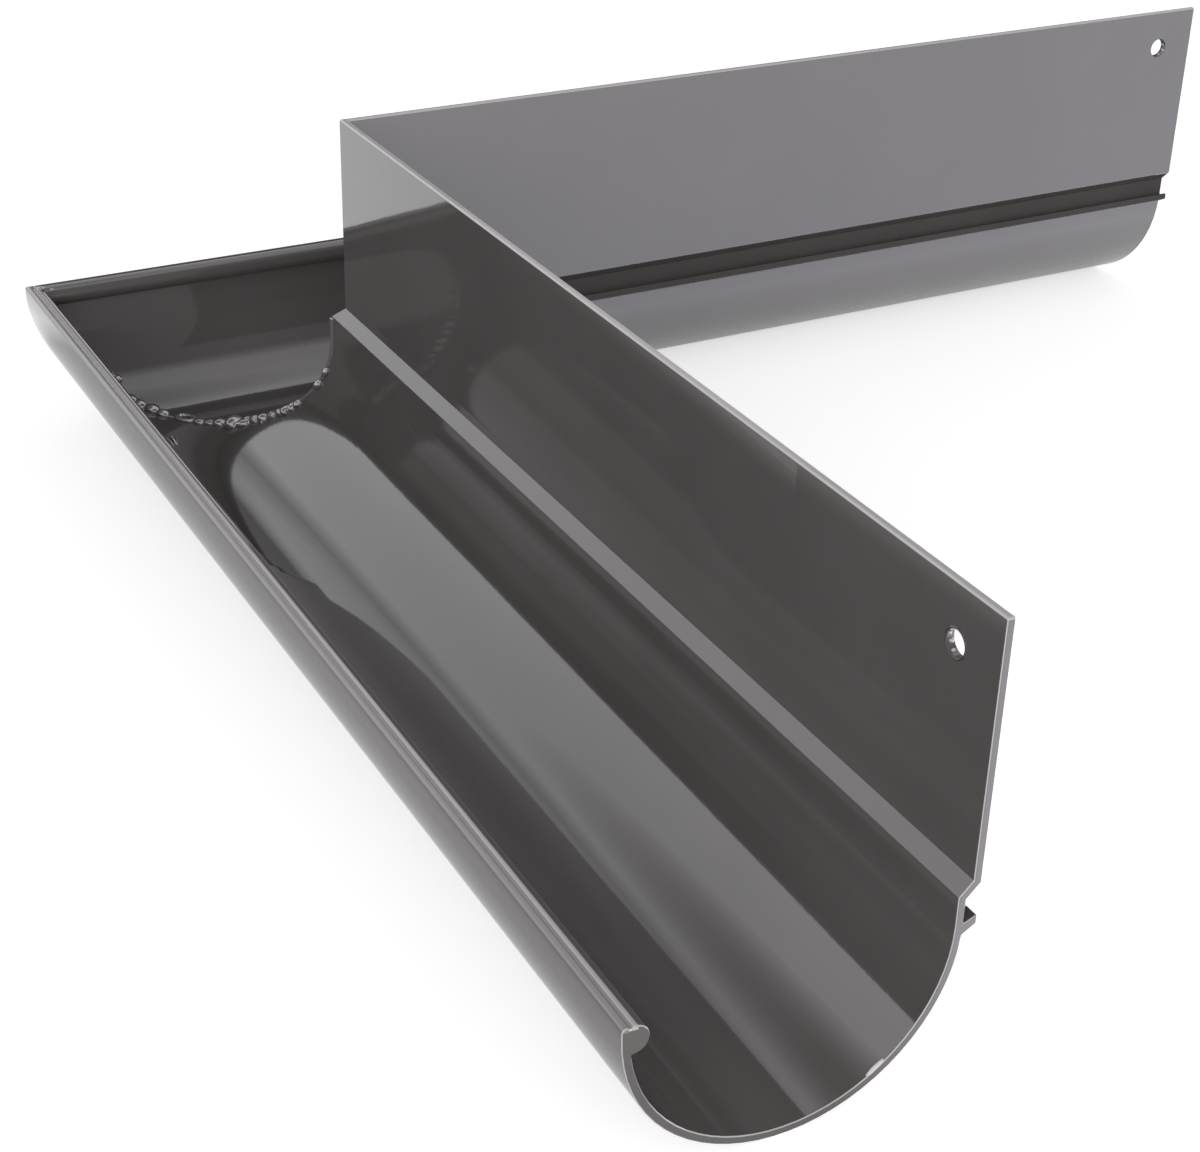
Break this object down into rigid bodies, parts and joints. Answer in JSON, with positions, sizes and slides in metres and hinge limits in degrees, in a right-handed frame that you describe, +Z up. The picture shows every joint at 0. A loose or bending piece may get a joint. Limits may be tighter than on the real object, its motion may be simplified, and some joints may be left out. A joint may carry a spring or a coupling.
{
  "type": "gutter external angle",
  "caption": "External corner for half-round metal gutter with a tall upstand behind: mitred lengths welded at a right angle, with screw holes, a beaded rim and a bracket groove.",
  "frame": {"origin": "middle of the bounding box, on its bottom, which is the level the half rounds rest on", "axes": "+Z up; one length runs along -Y and the other along +X from the outer corner at -X, +Y; the wall's corner stands between them"},
  "size_m": [0.625, 0.625, 0.169],
  "materials": {
    "coated_gutter": "gloss",
    "coated_weld": "gloss"
  },
  "bodies": {
    "root": {"right_arm": "coated_gutter", "left_arm": "coated_gutter", "mitre_weld": "coated_weld"}
  },
  "joints": []
}
